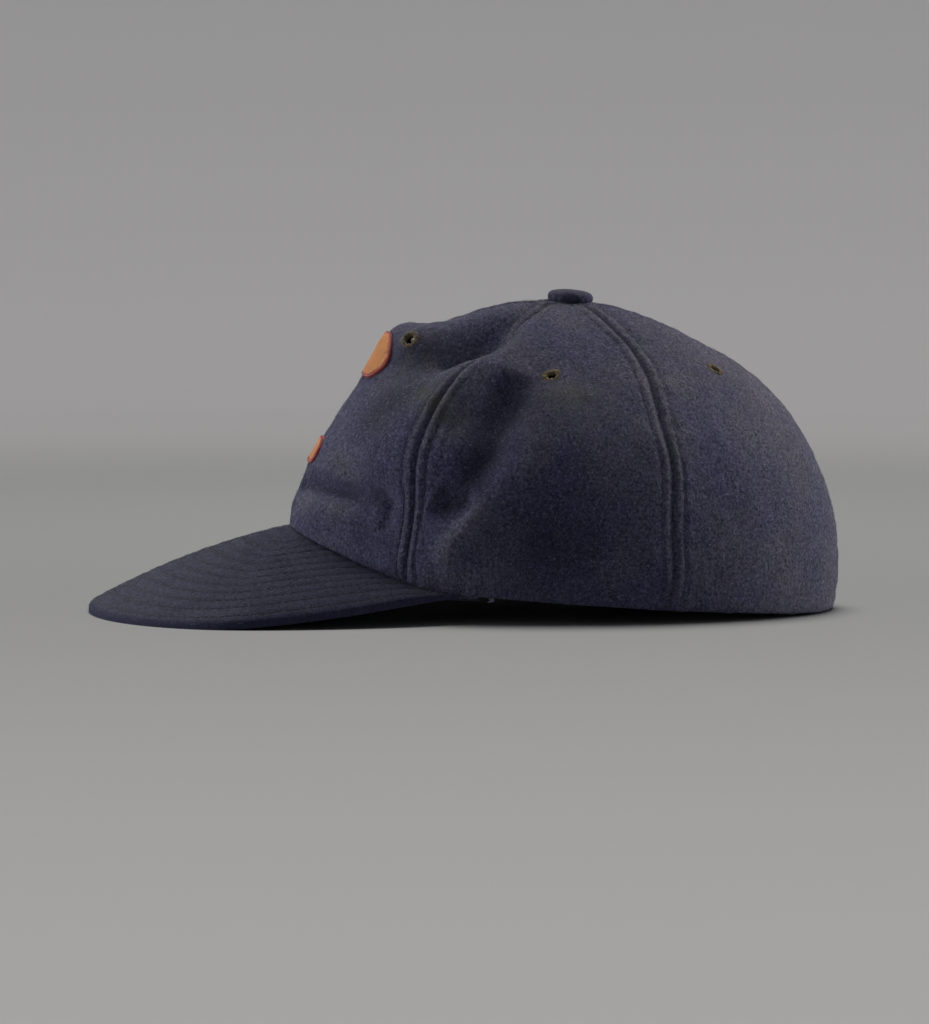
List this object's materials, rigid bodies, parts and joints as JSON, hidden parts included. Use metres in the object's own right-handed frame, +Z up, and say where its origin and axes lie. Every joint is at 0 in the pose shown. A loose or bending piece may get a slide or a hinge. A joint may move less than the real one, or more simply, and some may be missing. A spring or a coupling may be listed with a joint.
{
  "type": "flat-brim cap",
  "caption": "Soft gored wool cap with a stiff flat brim, stitched eyelets, a covered button, an inner sweatband and plain embroidered stripes on its front.",
  "frame": {"origin": "on the table under the middle of the cap's box, where the brim's edge and the back of the rim rest at z = 0", "axes": "+Z up from the table, -Y the way the brim points, +X the wearer's left"},
  "size_m": [0.1964, 0.2718, 0.1156],
  "materials": {
    "wool": "heathered navy felted wool, matte",
    "underbrim_cloth": "woven green cotton, matte",
    "sweatband_leather": "cream leather, satin",
    "eyelet_thread": "gold-tan buttonhole thread",
    "embroidery": "orange satin stitch, slightly glossy"
  },
  "bodies": {
    "root": {"crown_front_left": "wool", "crown_front_right": "wool", "crown_side_left": "wool", "crown_side_right": "wool", "crown_back_left": "wool", "crown_back_right": "wool", "eyelet_front_left": "eyelet_thread", "eyelet_front_right": "eyelet_thread", "eyelet_side_left": "eyelet_thread", "eyelet_side_right": "eyelet_thread", "eyelet_back_left": "eyelet_thread", "eyelet_back_right": "eyelet_thread", "brim": "wool", "underbrim": "underbrim_cloth", "sweatband": "sweatband_leather", "button": "wool", "upper_stripe": "embroidery", "lower_stripe": "embroidery"}
  },
  "joints": []
}
